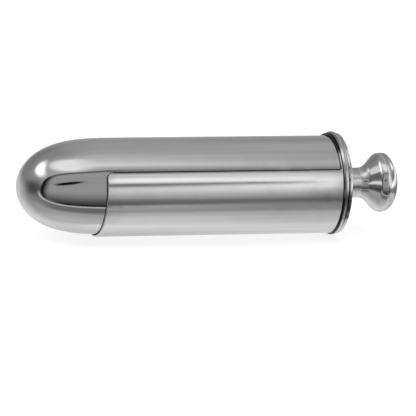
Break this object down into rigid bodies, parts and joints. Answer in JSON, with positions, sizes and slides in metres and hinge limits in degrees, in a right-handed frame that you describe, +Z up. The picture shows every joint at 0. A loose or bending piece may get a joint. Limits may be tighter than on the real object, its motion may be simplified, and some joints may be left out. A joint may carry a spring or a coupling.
{
  "type": "anal speculum",
  "caption": "Slotted round speculum sheath with a beaded rim, lying slot up, with a bullet-nosed obturator that slides out by its waisted knob.",
  "frame": {"origin": "middle of the overall length, on the surface that the instrument lies on", "axes": "+X along the axis towards the knob, +Z up through the middle of the slot"},
  "size_m": [0.1368, 0.036, 0.0361],
  "materials": {
    "sheath": "mirror polished",
    "rim": "mirror polished",
    "obturator": "mirror polished",
    "plate": "mirror polished",
    "knob": "mirror polished"
  },
  "bodies": {
    "sheath": {"sheath_tube": "sheath", "rim_ring": "rim"},
    "obturator": {"obturator_shell": "obturator", "end_plate": "plate", "knob": "knob"}
  },
  "joints": [
    {"name": "obturator_slide", "type": "slide", "parent": "sheath", "child": "obturator", "axis": [1, 0, 0], "range_m": [0, 0.12]}
  ]
}
